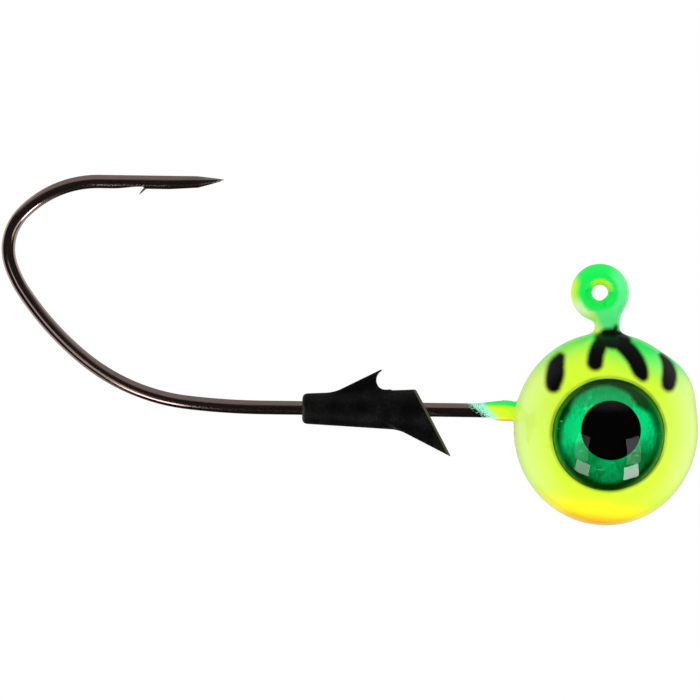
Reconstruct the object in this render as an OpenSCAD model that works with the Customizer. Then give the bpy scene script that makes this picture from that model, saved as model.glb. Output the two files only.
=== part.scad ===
// Ball jig head with glued domed eyes, a cast-in bent-wire hook and a push-on bait keeper.
// The origin is the middle of the line eye, +X runs forward along the shank, +Z is up.

/* [Head] */
// Thickness of the painted ball from side to side
ball_d = 13.6; // [12.9:0.1:14.3]
// Length of the painted ball along the shank
ball_len = 13.2; // [12.9:0.1:14.3]
// Height of the painted ball
ball_h = 13.8; // [12.9:0.1:14.3]
// How far the middle of the ball sits below the middle of the line eye
ball_drop = 9.75; // [9.4:0.05:10.2]
// Thickness of the paint on the ball
paint_t = 0.2; // [0.1:0.05:0.3]
// Length of the painted collar behind the ball
collar_len = 2.4; // [1:0.1:3]

/* [Hook] */
// Diameter of the hook wire
wire_d = 1; // [0.9:0.05:1.1]
// How far the shank runs below the middle of the line eye
shank_drop = 8.55; // [8.2:0.05:9]
// Where the straight shank ends and the bend starts, behind the line eye
shank_back = 23.95; // [22.8:0.05:26]
// Length of the straight stretch that carries the barb and the point
point_len = 8.95; // [8:0.05:11]
// Length of the ground point
grind_len = 1.9; // [1.2:0.1:3]

/* [Line eye] */
// Radius of the ring along the middle of the wire
ring_r = 1.32; // [1.3:0.01:1.45]
// Radius of the clear hole through the painted ring
eye_bore_r = 0.6; // [0.55:0.01:0.62]
// Thickness of the paint on the ring
ring_paint_t = 0.25; // [0.24:0.01:0.3]
// How far the upright wire stands in front of the middle of the ring
neck_x = 0.55; // [0.45:0.01:0.6]

/* [Eyes] */
// Diameter of a domed eye
lens_d = 7.8; // [7.6:0.1:8.2]
// Height of the dome above its straight rim
dome_h = 1.6; // [1:0.1:2.2]
// Diameter of the printed pupil
pupil_d = 3.8; // [3:0.1:5]
// How far the eyes sit below the middle of the ball
lens_drop = 0.3; // [0:0.05:0.5]
// How far the eyes sit behind the middle of the ball
lens_back = 0.1; // [0:0.05:0.3]

/* [Keeper] */
// Where the back face of the keeper stands, behind the line eye
keeper_back = 21.2; // [20.8:0.1:21.8]
// Length of the keeper's top edge
keeper_len = 8.1; // [7.5:0.05:8.4]
// Radius of the keeper at its back face
keeper_tail_r = 1.05; // [1:0.05:1.25]
// Radius of the keeper's body at its front
keeper_nose_r = 1.46; // [1.4:0.02:1.6]
// Thickness of the upper fin
fin_t = 1.1; // [0.8:0.1:1.6]

/* [Hidden] */
$fn = 96;

// Wire. Each length is drawn this much thinner than the one before it, as the forging leaves it.
wire_r = wire_d / 2;
DRAW_DOWN = 0.0025;
LAP = 0.02;                  // how far a length of wire runs into its neighbour
FIT = 0.01;                  // the casting's channel and the paint stand this clear of the wire
// The bend, from the shank round to the point: radius and angle of each stretch.
BENDS = [[52, 6], [14.5, 33], [21.5, 17], [7.8, 15], [3.7, 63], [7.5, 46]];
ELBOW_R = 1.6;               // the right angle inside the ball
NECK_TURN_R = 0.9;           // the turn from the upright into the ring
RING_END = 246;              // where the ring stops, counted from straight ahead
TAPER_LEN = 2;               // slow taper behind the ground point
SHOULDER_R = 0.42;
TIP_R = 0.02;                // half the thickness left at the very tip
SIDE_SLOPE = 0.2;
TIP_UP = 0.13;               // the top line stays straight, so the tip sits above the middle
BARB = [[0.8, -0.35], [0.55, -0.53], [-0.12, -0.82], [0.1, -0.3]];
BARB_PLACE = 5.95;           // from the tip of the point back to the tip of the barb
BARB_T = 0.4;
NOTCH = [[-1.9, -0.6], [0.12, -0.6], [0.12, -0.36], [-0.1, -0.36]];

// Ball
ball_r = ball_d / 2;
side_r = ball_r - paint_t;       // the bare casting's half widths: sideways, forward and up
front_r = ball_len / 2 - paint_t;
top_r = ball_h / 2 - paint_t;
ball_at = [neck_x, 0, -ball_drop];
GATE_R = 3.4;                // the low swelling that the pouring gate leaves
GATE_OUT = 0.26;
GATE_UP = 29;                // its direction above straight ahead
COLLAR_R = 0.62;
BOSS_R = 1.5;                // foot of the neck, where the paint pools
BOSS_H = 1.1;

// Eyes, counted out from the ball's middle
lens_r = lens_d / 2;
SOCKET_GAP = 0.1;
SOCKET_FLOOR = 4.95;
PAD_T = 0.15;
FOIL_T = 0.1;
PUPIL_T = 0.05;
RIM_H = 0.35;
PUPIL_UP = 0.28;
PUPIL_AHEAD = 0.15;
pad_at = SOCKET_FLOOR;
foil_at = pad_at + PAD_T;
lens_at = foil_at + FOIL_T;

// Keeper, in its own sketch with the shank as the axis and its back face at zero
BORE_FIT = 0.03;
FRONT_LEAN = 28.5;           // the front face leans back this far from upright
barb_x = keeper_len + 2.7;   // tip of the lower barb
BARB_RUN = [[6.5, -1.19], [barb_x, -3.35], [keeper_len + 0.9, 0], [6, 0]];
FIN = [[2.3, 0.8], [2.35, 1.2], [5.62, 2.85], [6.3, 1.3], [6.2, 0.8]];
FIN_NOTCH = [6.02, 2.1, 0.7];    // middle and radius of the hollow in front of the fin
TAIL_ROUND = 0.18;

// ---- The wire's path, in the side view ----

function turned(i) = i == 0 ? 0 : turned(i - 1) + BENDS[i - 1][1];
function side(a) = [sin(a), -cos(a)];
function bend_at(i) = i == 0 ? [-shank_back, -shank_drop]
    : bend_middle(i - 1) - BENDS[i - 1][0] * side(180 - turned(i));
function bend_middle(i) = bend_at(i) + BENDS[i][0] * side(180 - turned(i));
function thinned(n) = wire_r - n * DRAW_DOWN;

LAST = len(BENDS);
point_at = bend_at(LAST);
tip_x = point_at[0] + point_len;
neck_angle = acos((neck_x + NECK_TURN_R) / (ring_r + NECK_TURN_R));
neck_top = -(ring_r + NECK_TURN_R) * sin(neck_angle);

// Draws a side view upright: sketch X stays X, sketch Y becomes Z.
module upright() { rotate([90, 0, 0]) children(); }

// Round bar along X from one x to another, in the sketch.
module bar(from_x, to_x, y, r1, r2) {
    translate([from_x, y, 0]) rotate([0, 90, 0]) cylinder(r1 = r1, r2 = r2, h = to_x - from_x);
}

// Bent bar: middle, bend radius, bar radius, start angle and angle.
module bent(middle, bend_r, r, start, angle) {
    translate([middle[0], middle[1], 0]) rotate([0, 0, start])
        rotate_extrude(angle = angle) translate([bend_r, 0]) circle(r = r);
}

// The bend, one stretch after another from the shank.
module bend_run() {
    for (i = [0 : LAST - 1]) {
        lap = LAP / BENDS[i][0] * 180 / PI;
        bent(bend_middle(i), BENDS[i][0], thinned(i + 1), 270 - turned(i + 1),
            BENDS[i][1] + lap);
    }
}

// The straight point: round wire, ground to a spear by a long flat below, a short one on top
// and one on each side.
module point_run() {
    r = thinned(LAST + 1);
    grind_x = tip_x - grind_len;
    start_x = point_at[0] - LAP;
    low_y = r - 2 * SHOULDER_R;
    top_slope = (r - TIP_UP - TIP_R) / grind_len;
    low_slope = (low_y + r) / TAPER_LEN;
    intersection() {
        bar(start_x, tip_x, point_at[1], r, r);
        translate([0, point_at[1], -1]) linear_extrude(2) polygon([
            [start_x - 1, -1], [start_x - 1, 1], [grind_x - (1 - r) / top_slope, 1],
            [tip_x, TIP_UP + TIP_R], [tip_x, TIP_UP - TIP_R],
            [grind_x, low_y], [grind_x - TAPER_LEN - 1, -r - low_slope], [grind_x - TAPER_LEN - 1, -1]
        ]);
        translate([0, point_at[1] + 1, 0]) rotate([90, 0, 0]) linear_extrude(2) polygon([
            [start_x - 1, -1], [tip_x - grind_len - 1, -r - SIDE_SLOPE], [tip_x, -TIP_R],
            [tip_x, TIP_R], [tip_x - grind_len - 1, r + SIDE_SLOPE], [start_x - 1, 1]
        ]);
    }
}

module barb() {
    translate([tip_x - BARB_PLACE, point_at[1], -BARB_T / 2]) linear_extrude(BARB_T) polygon(BARB);
}

module barb_notch() {
    translate([tip_x - BARB_PLACE, point_at[1], -wire_r]) linear_extrude(wire_d) polygon(NOTCH);
}

// Shank, elbow, upright, neck turn and ring, with extra added to the wire's radius.
module front_run(extra = 0) {
    elbow_at = [neck_x - ELBOW_R, -shank_drop + ELBOW_R];
    bar(-shank_back, elbow_at[0], -shank_drop, wire_r + extra, wire_r + extra);
    bent(elbow_at, ELBOW_R, thinned(1) + extra, 268, 92);
    translate([neck_x, elbow_at[1] - LAP, 0]) rotate([-90, 0, 0])
        cylinder(r = thinned(2) + extra, h = neck_top - elbow_at[1] + LAP);
    bent([neck_x + NECK_TURN_R, neck_top], NECK_TURN_R, thinned(3) + extra,
        180 - neck_angle, neck_angle + 1);
    bent([0, 0], ring_r, thinned(4) + extra, -neck_angle - 1, RING_END + neck_angle + 1);
}

module hook() {
    color("#2b2725") upright() {
        difference() {
            union() {
                front_run();
                bend_run();
                point_run();
            }
            barb_notch();
        }
        barb();
    }
}

// ---- Head ----

// The ball with its gate swelling, collar and neck foot, skin thicker than the casting.
module head_form(skin) {
    translate(ball_at) {
        scale([front_r + skin, side_r + skin, top_r + skin]) sphere(r = 1);
        rotate([0, -GATE_UP, 0]) translate([front_r + GATE_OUT - GATE_R, 0, 0])
            sphere(r = GATE_R + skin);
    }
    back_x = neck_x - front_r;
    upright() {
        bar(back_x - 0.6, back_x + 1.2, -shank_drop, COLLAR_R + skin * 0.6, COLLAR_R + skin * 0.6);
        bar(back_x - collar_len, back_x - 0.6, -shank_drop, wire_r + skin * 0.2 + 0.01,
            COLLAR_R + skin * 0.6);
    }
    translate([neck_x, 0, top_r - ball_drop - 0.6])
        cylinder(r1 = BOSS_R + skin, r2 = wire_r + 0.1 + skin, h = BOSS_H);
}

// Both eye sockets, open to the sides.
module sockets(r, floor_y) {
    for (way = [-1, 1])
        translate([neck_x - lens_back, way * floor_y, -ball_drop - lens_drop]) rotate([-90 * way, 0, 0])
            cylinder(r = r, h = ball_r);
}

module casting_solid() {
    difference() {
        head_form(0);
        sockets(lens_r + SOCKET_GAP + paint_t / 2, SOCKET_FLOOR - paint_t / 2);
    }
}

module head_casting() {
    color("#7d8085") difference() {
        casting_solid();
        upright() front_run(FIT);
    }
}

module head_paint() {
    color("#c9f01e") difference() {
        head_form(paint_t);
        sockets(lens_r + SOCKET_GAP, SOCKET_FLOOR);
        casting_solid();
        upright() front_run(FIT);
    }
}

// Paint round the ring and down the neck to the ball's own paint.
module ring_paint() {
    color("#1fe05f") difference() {
        union() {
            upright() bent([0, 0], ring_r, wire_r + ring_paint_t, 0, 360);
            translate([neck_x, 0, ball_h / 2 - ball_drop - 0.3])
                cylinder(r1 = wire_r + 0.36, r2 = wire_r + 0.3, h = ball_drop - ball_h / 2 - ring_r + 0.3);
        }
        rotate([90, 0, 0]) cylinder(r = eye_bore_r, h = 4, center = true);
        upright() front_run(FIT);
        head_form(paint_t);
    }
}

// ---- Eyes ----

// Places a disc that lies on the socket floor: way is -1 for the right side, 1 for the left.
module on_socket(way, out, ahead = 0, up = 0) {
    translate([neck_x - lens_back + ahead, way * out, -ball_drop - lens_drop + up])
        rotate([-90 * way, 0, 0]) children();
}

module eye_pad(way) {
    color("#e8e6dc") on_socket(way, pad_at) cylinder(r = lens_r - 0.2, h = PAD_T);
}

module eye_foil(way) {
    color("#0f9a54") on_socket(way, foil_at) cylinder(r = lens_r - 0.05, h = FOIL_T);
}

module eye_pupil(way) {
    color("#080808") on_socket(way, lens_at, PUPIL_AHEAD, PUPIL_UP) cylinder(r = pupil_d / 2, h = PUPIL_T);
}

module eye_lens(way) {
    cap_r = (lens_r * lens_r + dome_h * dome_h) / (2 * dome_h);
    color("#d8f4e4", 0.35) difference() {
        on_socket(way, lens_at) {
            cylinder(r = lens_r, h = RIM_H);
            translate([0, 0, RIM_H]) intersection() {
                translate([0, 0, dome_h - cap_r]) sphere(r = cap_r);
                cylinder(r = lens_r + 1, h = dome_h + 1);
            }
        }
        on_socket(way, lens_at - 0.1, PUPIL_AHEAD, PUPIL_UP) cylinder(r = pupil_d / 2, h = PUPIL_T + 0.1);
    }
}

// ---- Keeper ----

// Everything behind the leaning front face, in the keeper's own sketch.
module behind_front(t) {
    top = 4;
    lean = tan(FRONT_LEAN);
    x_at_top = keeper_len - (top - keeper_nose_r) * lean;
    x_at_foot = keeper_len + (top + keeper_nose_r) * lean;
    translate([0, 0, -t / 2]) linear_extrude(t)
        polygon([[-1, -top], [x_at_foot, -top], [x_at_top, top], [-1, top]]);
}

// The lower barb narrows to its tip, seen from above.
module barb_plan() {
    half = [[5.5, 1.35], [barb_x - 1.4, 1.05], [barb_x, 0.3]];
    translate([0, 5, 0]) rotate([90, 0, 0]) linear_extrude(10)
        polygon(concat(half, [for (i = [2 : -1 : 0]) [half[i][0], -half[i][1]]]));
}

module keeper_sketch() {
    difference() {
        intersection() {
            union() {
                bar(0, TAIL_ROUND, 0, keeper_tail_r - TAIL_ROUND, keeper_tail_r);
                bar(TAIL_ROUND, keeper_len + 2.2, 0, keeper_tail_r, keeper_nose_r + 0.06);
                translate([0, 0, -fin_t / 2]) linear_extrude(fin_t) difference() {
                    polygon(FIN);
                    translate([FIN_NOTCH[0], FIN_NOTCH[1]]) circle(r = FIN_NOTCH[2]);
                }
                intersection() {
                    translate([0, 0, -2]) linear_extrude(4) polygon(BARB_RUN);
                    barb_plan();
                }
            }
            behind_front(6);
        }
        bar(-1, keeper_len + 4, 0, wire_r + BORE_FIT, wire_r + BORE_FIT);
    }
}

module bait_keeper() {
    color("#161616") translate([-keeper_back, 0, -shank_drop]) upright() keeper_sketch();
}

head_casting();
head_paint();
ring_paint();
hook();
bait_keeper();
eye_pad(1);  // eye_pad_left
eye_foil(1);  // eye_foil_left
eye_pupil(1);  // eye_pupil_left
eye_lens(1);  // eye_lens_left
eye_pad(-1);  // eye_pad_right
eye_foil(-1);  // eye_foil_right
eye_pupil(-1);  // eye_pupil_right
eye_lens(-1);  // eye_lens_right
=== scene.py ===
import math

import bpy
import numpy as np
from mathutils import Matrix, Quaternion, Vector


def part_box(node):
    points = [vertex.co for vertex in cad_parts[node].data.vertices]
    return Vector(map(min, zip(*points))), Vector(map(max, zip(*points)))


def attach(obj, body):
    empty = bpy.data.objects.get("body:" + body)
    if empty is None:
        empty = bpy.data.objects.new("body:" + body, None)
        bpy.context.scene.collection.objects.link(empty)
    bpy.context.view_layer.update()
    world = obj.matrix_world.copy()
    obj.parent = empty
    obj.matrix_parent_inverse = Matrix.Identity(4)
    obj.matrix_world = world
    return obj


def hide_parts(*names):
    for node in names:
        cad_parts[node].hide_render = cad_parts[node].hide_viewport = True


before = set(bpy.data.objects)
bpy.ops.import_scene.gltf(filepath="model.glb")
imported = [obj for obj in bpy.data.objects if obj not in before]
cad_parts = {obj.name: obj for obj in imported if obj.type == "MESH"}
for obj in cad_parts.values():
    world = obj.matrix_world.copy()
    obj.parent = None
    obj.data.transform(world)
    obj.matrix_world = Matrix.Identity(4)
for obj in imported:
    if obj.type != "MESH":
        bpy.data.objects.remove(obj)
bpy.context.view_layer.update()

# A painted ball jig head. Lengths are in millimetres while a piece is being made, and in metres once it is.
MM = 0.001


def node_box(name):
    """Lowest and highest corner of a CAD node, in millimetres."""
    low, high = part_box(name)
    return np.array(low) / MM, np.array(high) / MM


# ---- Sizes, from the frame ----

paint_low, paint_high = node_box("head_paint")
ring_low, ring_high = node_box("ring_paint")
keeper_low, keeper_high = node_box("bait_keeper")
lens_low, lens_high = node_box("eye_lens_right")
pupil_low, pupil_high = node_box("eye_pupil_right")
foil_low, _ = node_box("eye_foil_right")

BALL = np.array((6.59, 6.79, 6.89))     # half widths forward, sideways and up
BALL_RISE = 6.9                         # from its underside up to its middle
NECK_X = 0.55                           # the neck stands over the ball's middle
WIRE_R = 0.5
SHANK_Z = -8.55
RING_R = 1.32                           # middle line of the line eye's wire
NECK_TURN_R = 0.9
SOCKET_FLOOR = 4.95                     # out from the middle plane
FILLET = 0.25                           # where one shape runs into the next
HEAD_STEP, LEAD_STEP, KEEPER_STEP = 0.1, 0.22, 0.06  # face widths of the skins

ball_at = np.array([NECK_X, 0.0, paint_low[2] + BALL_RISE])
lens_r = (lens_high[0] - lens_low[0]) / 2
pupil_r = (pupil_high[0] - pupil_low[0]) / 2
eye_at = (lens_low + lens_high) / 2     # its y is not used
pupil_at = (pupil_low + pupil_high) / 2
dome_top = -lens_low[1]                 # both counted out from the middle plane
foil_top = -foil_low[1]


# ---- Making meshes ----

def piece_from(name, points, faces, material, body):
    """A smooth mesh object at the origin, its place in its mesh, riding on a body. Points in millimetres."""
    mesh = bpy.data.meshes.new(name)
    mesh.from_pydata((np.asarray(points, float) * MM).tolist(), [], [list(f) for f in faces])
    mesh.validate()
    mesh.update()
    mesh.shade_smooth()
    mesh.materials.append(material)
    piece = bpy.data.objects.new(name, mesh)
    bpy.context.scene.collection.objects.link(piece)
    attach(piece, body)
    return piece


def blended(a, b, k):
    """Union of two distance fields with a fillet about k wide."""
    h = np.clip(0.5 + 0.5 * (b - a) / k, 0, 1)
    return b + (a - b) * h - k * h * (1 - h)


def cut(a, b, k):
    """Field a without field b, its edge rounded about k wide."""
    return -blended(-a, b, k)


def round_bar(x, y, z, start, end, r1, r2):
    """A bar with round ends from start to end, its radius going from r1 to r2."""
    start, end = np.array(start), np.array(end)
    run = end - start
    t = ((x - start[0]) * run[0] + (y - start[1]) * run[1] + (z - start[2]) * run[2]) / (run @ run)
    t = np.clip(t, 0, 1)
    away = np.sqrt((x - start[0] - t * run[0]) ** 2 + (y - start[1] - t * run[1]) ** 2
                   + (z - start[2] - t * run[2]) ** 2)
    return away - (r1 + (r2 - r1) * t)


def slope(field, points, reach):
    """Gradient of a field at some points, by central differences."""
    found = np.empty_like(points)
    for axis in range(3):
        step = np.zeros(3)
        step[axis] = reach
        found[:, axis] = (field(*(points + step).T) - field(*(points - step).T)) / (2 * reach)
    return found


def skinned(field, low, high, step):
    """Closed quad mesh of the surface where the field is zero, each point settled onto it."""
    lines = [np.arange(low[a] - 2 * step, high[a] + 3 * step, step) for a in range(3)]
    grid = np.meshgrid(*lines, indexing="ij")
    value = field(*grid).astype(np.float32)
    cells = [len(line) - 1 for line in lines]
    total = np.zeros((np.prod(cells), 3))
    count = np.zeros(np.prod(cells))
    quads = []
    for axis in range(3):
        near = [slice(None)] * 3
        far = [slice(None)] * 3
        near[axis], far[axis] = slice(None, -1), slice(1, None)
        a, b = value[tuple(near)], value[tuple(far)]
        edge = np.argwhere((a < 0) != (b < 0))
        va, vb = a[tuple(edge.T)], b[tuple(edge.T)]
        place = edge.astype(float)
        place[:, axis] += va / (va - vb)
        u, v = (axis + 1) % 3, (axis + 2) % 3
        ring = []
        for du, dv in ((0, 0), (1, 0), (1, 1), (0, 1)):
            cell = edge.copy()
            cell[:, u] -= du
            cell[:, v] -= dv
            number = np.ravel_multi_index(cell.T, cells)
            for k in range(3):
                total[:, k] += np.bincount(number, place[:, k], len(total))
            count += np.bincount(number, minlength=len(count))
            ring.append(number)
        ring = np.stack(ring, 1)
        ring[va > 0] = ring[va > 0][:, ::-1]
        quads.append(ring)
    quads = np.concatenate(quads)
    used = np.flatnonzero(count)
    renumber = np.zeros(len(count), int)
    renumber[used] = np.arange(len(used))
    origin = np.array([line[0] for line in lines])
    points = origin + total[used] / count[used, None] * step
    for _ in range(3):
        push = slope(field, points, step * 0.25)
        size = np.maximum((push ** 2).sum(1), 1e-6)
        move = push * (field(*points.T) / size)[:, None]
        points -= np.clip(move, -step, step)
    return points, renumber[quads]


def point_values(piece, name, values):
    """Stores one number for each point of a piece, which its material reads."""
    made = piece.data.attributes.new(name, "FLOAT", "POINT")
    made.data.foreach_set("value", np.asarray(values, np.float32))


def ramp(value, start, end):
    """0 before start, 1 after end, smooth between."""
    t = np.clip((value - start) / (end - start), 0, 1)
    return t * t * (3 - 2 * t)


# ---- Materials ----

def linear(hex_colour):
    """Linear colour of an sRGB hex value."""
    parts = [int(hex_colour[i:i + 2], 16) / 255 for i in (1, 3, 5)]
    return [p / 12.92 if p <= 0.04045 else ((p + 0.055) / 1.055) ** 2.4 for p in parts] + [1.0]


def add(tree, kind, settings=None, inputs=None, links=None):
    """Adds a node, sets its properties and its sockets, and links sockets to it from other nodes."""
    node = tree.nodes.new(kind)
    for key, value in (settings or {}).items():
        setattr(node, key, value)
    for key, value in (inputs or {}).items():
        node.inputs[key].default_value = value
    for key, source in (links or {}).items():
        tree.links.new(source, node.inputs[key])
    return node


def new_material(name):
    """An empty material and its node tree."""
    made = bpy.data.materials.new(name)
    made.use_nodes = True
    tree = made.node_tree
    tree.nodes.clear()
    return made, tree


def close(tree, shader):
    """Links a finished shader to the material's output."""
    add(tree, "ShaderNodeOutputMaterial", links={"Surface": shader.outputs[0]})


def place(tree, scale=(1, 1, 1), location=(0, 0, 0)):
    """Object coordinates in millimetres, stretched and moved for a pattern."""
    source = add(tree, "ShaderNodeTexCoord")
    size = tuple(s / MM for s in scale)
    return add(tree, "ShaderNodeMapping", inputs={"Scale": size, "Location": location},
               links={"Vector": source.outputs["Object"]}).outputs["Vector"]


def noise(tree, vector, size, detail=3.0, rough=0.5):
    """Noise whose lumps are about size millimetres across."""
    return add(tree, "ShaderNodeTexNoise", inputs={"Scale": 1 / size, "Detail": detail, "Roughness": rough},
               links={"Vector": vector}).outputs["Fac"]


def levels(tree, value, low, high, to_low=0.0, to_high=1.0):
    """Spreads a value between low and high over another range, held inside it."""
    return add(tree, "ShaderNodeMapRange", {"interpolation_type": "SMOOTHSTEP"},
               {"From Min": low, "From Max": high, "To Min": to_low, "To Max": to_high},
               {"Value": value}).outputs["Result"]


def math_node(tree, operation, a, b):
    """One sum on two values, each a number or a socket."""
    node = add(tree, "ShaderNodeMath", {"operation": operation})
    for socket, value in zip(node.inputs, (a, b)):
        if isinstance(value, (int, float)):
            socket.default_value = value
        else:
            tree.links.new(value, socket)
    return node.outputs[0]


def mixed(tree, share, a, b, blend="MIX"):
    """Colour a turned into colour b by share; each is a hex value or a socket."""
    node = add(tree, "ShaderNodeMix", {"data_type": "RGBA", "blend_type": blend})
    for socket, value in ((node.inputs[0], share), (node.inputs[6], a), (node.inputs[7], b)):
        if isinstance(value, str):
            socket.default_value = linear(value)
        elif isinstance(value, float):
            socket.default_value = value
        else:
            tree.links.new(value, socket)
    return node.outputs[2]


def stored(tree, name):
    """A number stored on the piece's points."""
    return add(tree, "ShaderNodeAttribute", {"attribute_name": name}).outputs["Fac"]


def bumped(tree, height, depth, strength=1.0):
    """Normals of a relief whose full height is depth millimetres."""
    return add(tree, "ShaderNodeBump", inputs={"Strength": strength, "Distance": depth * MM},
               links={"Height": height}).outputs["Normal"]


def swung(tree, value, reach):
    """A value between 0 and 1 made to swing about zero, reach from its lowest to its highest."""
    return math_node(tree, "MULTIPLY", math_node(tree, "SUBTRACT", value, 0.5), reach)


def spray_paint():
    """Fluorescent powder paint under clear gloss: airbrushed blends with a fine grain, orange peel.

    The eye sees yellow that goes green on top and orange underneath, soft black bars, a light green
    dusting where the coat runs out on the wire, painted highlights at the sides, on the ring and on the gate,
    and painted shade in darker lines along the bead round an eye.
    """
    made, tree = new_material("fluorescent_paint_gloss_clearcoat")
    spot = place(tree)
    cloud = noise(tree, spot, 1.6, 4.0)
    grain = noise(tree, spot, 0.12, 2.0)
    unevenness = math_node(tree, "ADD", math_node(tree, "MULTIPLY", cloud, 0.24),
                           math_node(tree, "MULTIPLY", grain, 0.14))
    unevenness = math_node(tree, "SUBTRACT", unevenness, 0.19)
    green, glow, deep, runout_and_glint, black = (
        levels(tree, math_node(tree, "ADD", stored(tree, coat), unevenness), low, high)
        for coat, low, high in (("green", 0.12, 0.88), ("orange", 0.05, 0.7), ("orange", 0.68, 1.15),
                                ("thin_coat_and_highlight", 0.1, 0.9), ("stripe", 0.15, 0.85)))
    colour = mixed(tree, cloud, "#cdf91c", "#dcff2c")
    colour = mixed(tree, glow, colour, "#fff512")
    colour = mixed(tree, deep, colour, "#ffa50c")
    colour = mixed(tree, green, colour, "#08f556")
    # Painted highlight: whitish where the ball's sides and the ring's lower left edge would catch light.
    colour = mixed(tree, stored(tree, "painted_rim_highlight"), colour, "#eaffc8")
    # The coat running out on the wire, and a light green painted highlight on the ring, the stem and the
    # gate.
    colour = mixed(tree, runout_and_glint, colour, "#a2fbd6")
    bare = math_node(tree, "MULTIPLY", levels(tree, stored(tree, "thin_coat_and_highlight"), 0.8, 1.0),
                     levels(tree, noise(tree, spot, 0.08, 1.0), 0.57, 0.64))
    colour = mixed(tree, bare, colour, "#1c1917")
    colour = mixed(tree, black, colour, "#040404")
    # Painted shade round each eye: an olive line outside the bead and a darker green one inside it, where its
    # crease would be in shadow.
    flat = place(tree, (1, 0, 1), (-eye_at[0], 0, -eye_at[2]))
    across = add(tree, "ShaderNodeVectorMath", {"operation": "LENGTH"}, links={0: flat}).outputs["Value"]
    patchy = levels(tree, noise(tree, spot, 2.2, 2.0), 0.35, 0.65, 0.35, 0.75)
    lip_shade = levels(tree, across, LIP_R + 0.02, LIP_R + 0.2, 1.0, 0.0)
    colour = mixed(tree, math_node(tree, "MULTIPLY", lip_shade, patchy), colour, "#6b8c02")
    crease_shade = levels(tree, across, LIP_R - 0.12, LIP_R - 0.04, 0.8, 0.0)
    colour = mixed(tree, crease_shade, colour, "#2f7a05")
    peel = bumped(tree, noise(tree, spot, 0.7, 2.0), 0.012)
    shader = add(tree, "ShaderNodeBsdfPrincipled",
                 inputs={"IOR": 1.5, "Coat Roughness": 0.06, "Coat IOR": 1.45},
                 links={"Base Color": colour, "Normal": peel,
                        "Coat Weight": levels(tree, black, 0.0, 1.0, 0.6, 0.1),
                        "Specular IOR Level": levels(tree, black, 0.0, 1.0, 0.15, 0.02),
                        "Roughness": levels(tree, grain, 0.3, 0.7, 0.32, 0.46)})
    close(tree, shader)
    return made


def black_nickel():
    """Black nickel plate on drawn wire: dark mirror, fine lines along the wire, dull where worn."""
    made, tree = new_material("black_nickel_plate")
    spot = place(tree)
    lines = add(tree, "ShaderNodeCombineXYZ",
                links={"X": math_node(tree, "MULTIPLY", stored(tree, "along"), 0.12),
                       "Y": math_node(tree, "MULTIPLY", stored(tree, "around"), 40.0)})
    drawn = add(tree, "ShaderNodeTexNoise", inputs={"Scale": 1.0, "Detail": 3.0},
                links={"Vector": lines.outputs[0]}).outputs["Fac"]
    cloud = noise(tree, spot, 1.1, 4.0)
    speck = noise(tree, spot, 0.07, 1.0)
    overspray = math_node(tree, "ADD", stored(tree, "overspray"), swung(tree, speck, 1.7))
    dots = levels(tree, overspray, 0.62, 0.7)
    cut = stored(tree, "ground")
    metal = mixed(tree, cloud, "#a88f89", "#c0a7a0")
    metal = mixed(tree, levels(tree, drawn, 0.35, 0.7, 0.0, 0.6), metal, "#8a7872")
    metal = mixed(tree, cut, metal, "#b9b2ae")
    colour = mixed(tree, dots, metal, "#a5f2cf")
    rough = math_node(tree, "ADD", levels(tree, drawn, 0.3, 0.7, 0.1, 0.2),
                      math_node(tree, "MULTIPLY", dots, 0.3))
    shader = add(tree, "ShaderNodeBsdfPrincipled",
                 links={"Base Color": colour, "Roughness": rough,
                        "Metallic": math_node(tree, "SUBTRACT", 1.0, dots),
                        "Normal": bumped(tree, drawn, 0.004)})
    close(tree, shader)
    return made


def moulded_nylon():
    """Black injection-moulded nylon: fine spark-eroded grain, satin, and a paler painted highlight along its
    edges.
    """
    made, tree = new_material("moulded_nylon_satin_black")
    spot = place(tree)
    grain = noise(tree, spot, 0.14, 3.0)
    flow = noise(tree, spot, 1.3, 3.0)
    # Painted highlight: olive grey along the front face's rim and the rear end.
    edge_glint = levels(tree, math_node(tree, "ADD", stored(tree, "edge"), swung(tree, flow, 0.8)), 0.45, 0.85)
    colour = mixed(tree, levels(tree, flow, 0.35, 0.7), "#040404", "#0b0b0a")
    rubbed = math_node(tree, "ADD", grain, math_node(tree, "MULTIPLY", flow, 0.6))
    colour = mixed(tree, levels(tree, rubbed, 0.84, 1.0, 0.0, 0.5), colour, "#1e1e1c")
    colour = mixed(tree, edge_glint, colour, "#4b4c36")
    normal = bumped(tree, grain, 0.02, 0.6)
    shader = add(tree, "ShaderNodeBsdfPrincipled",
                 inputs={"IOR": 1.5, "Specular IOR Level": 0.13},
                 links={"Base Color": colour, "Normal": normal,
                        "Roughness": levels(tree, flow, 0.3, 0.7, 0.42, 0.6)})
    close(tree, shader)
    return made


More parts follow.
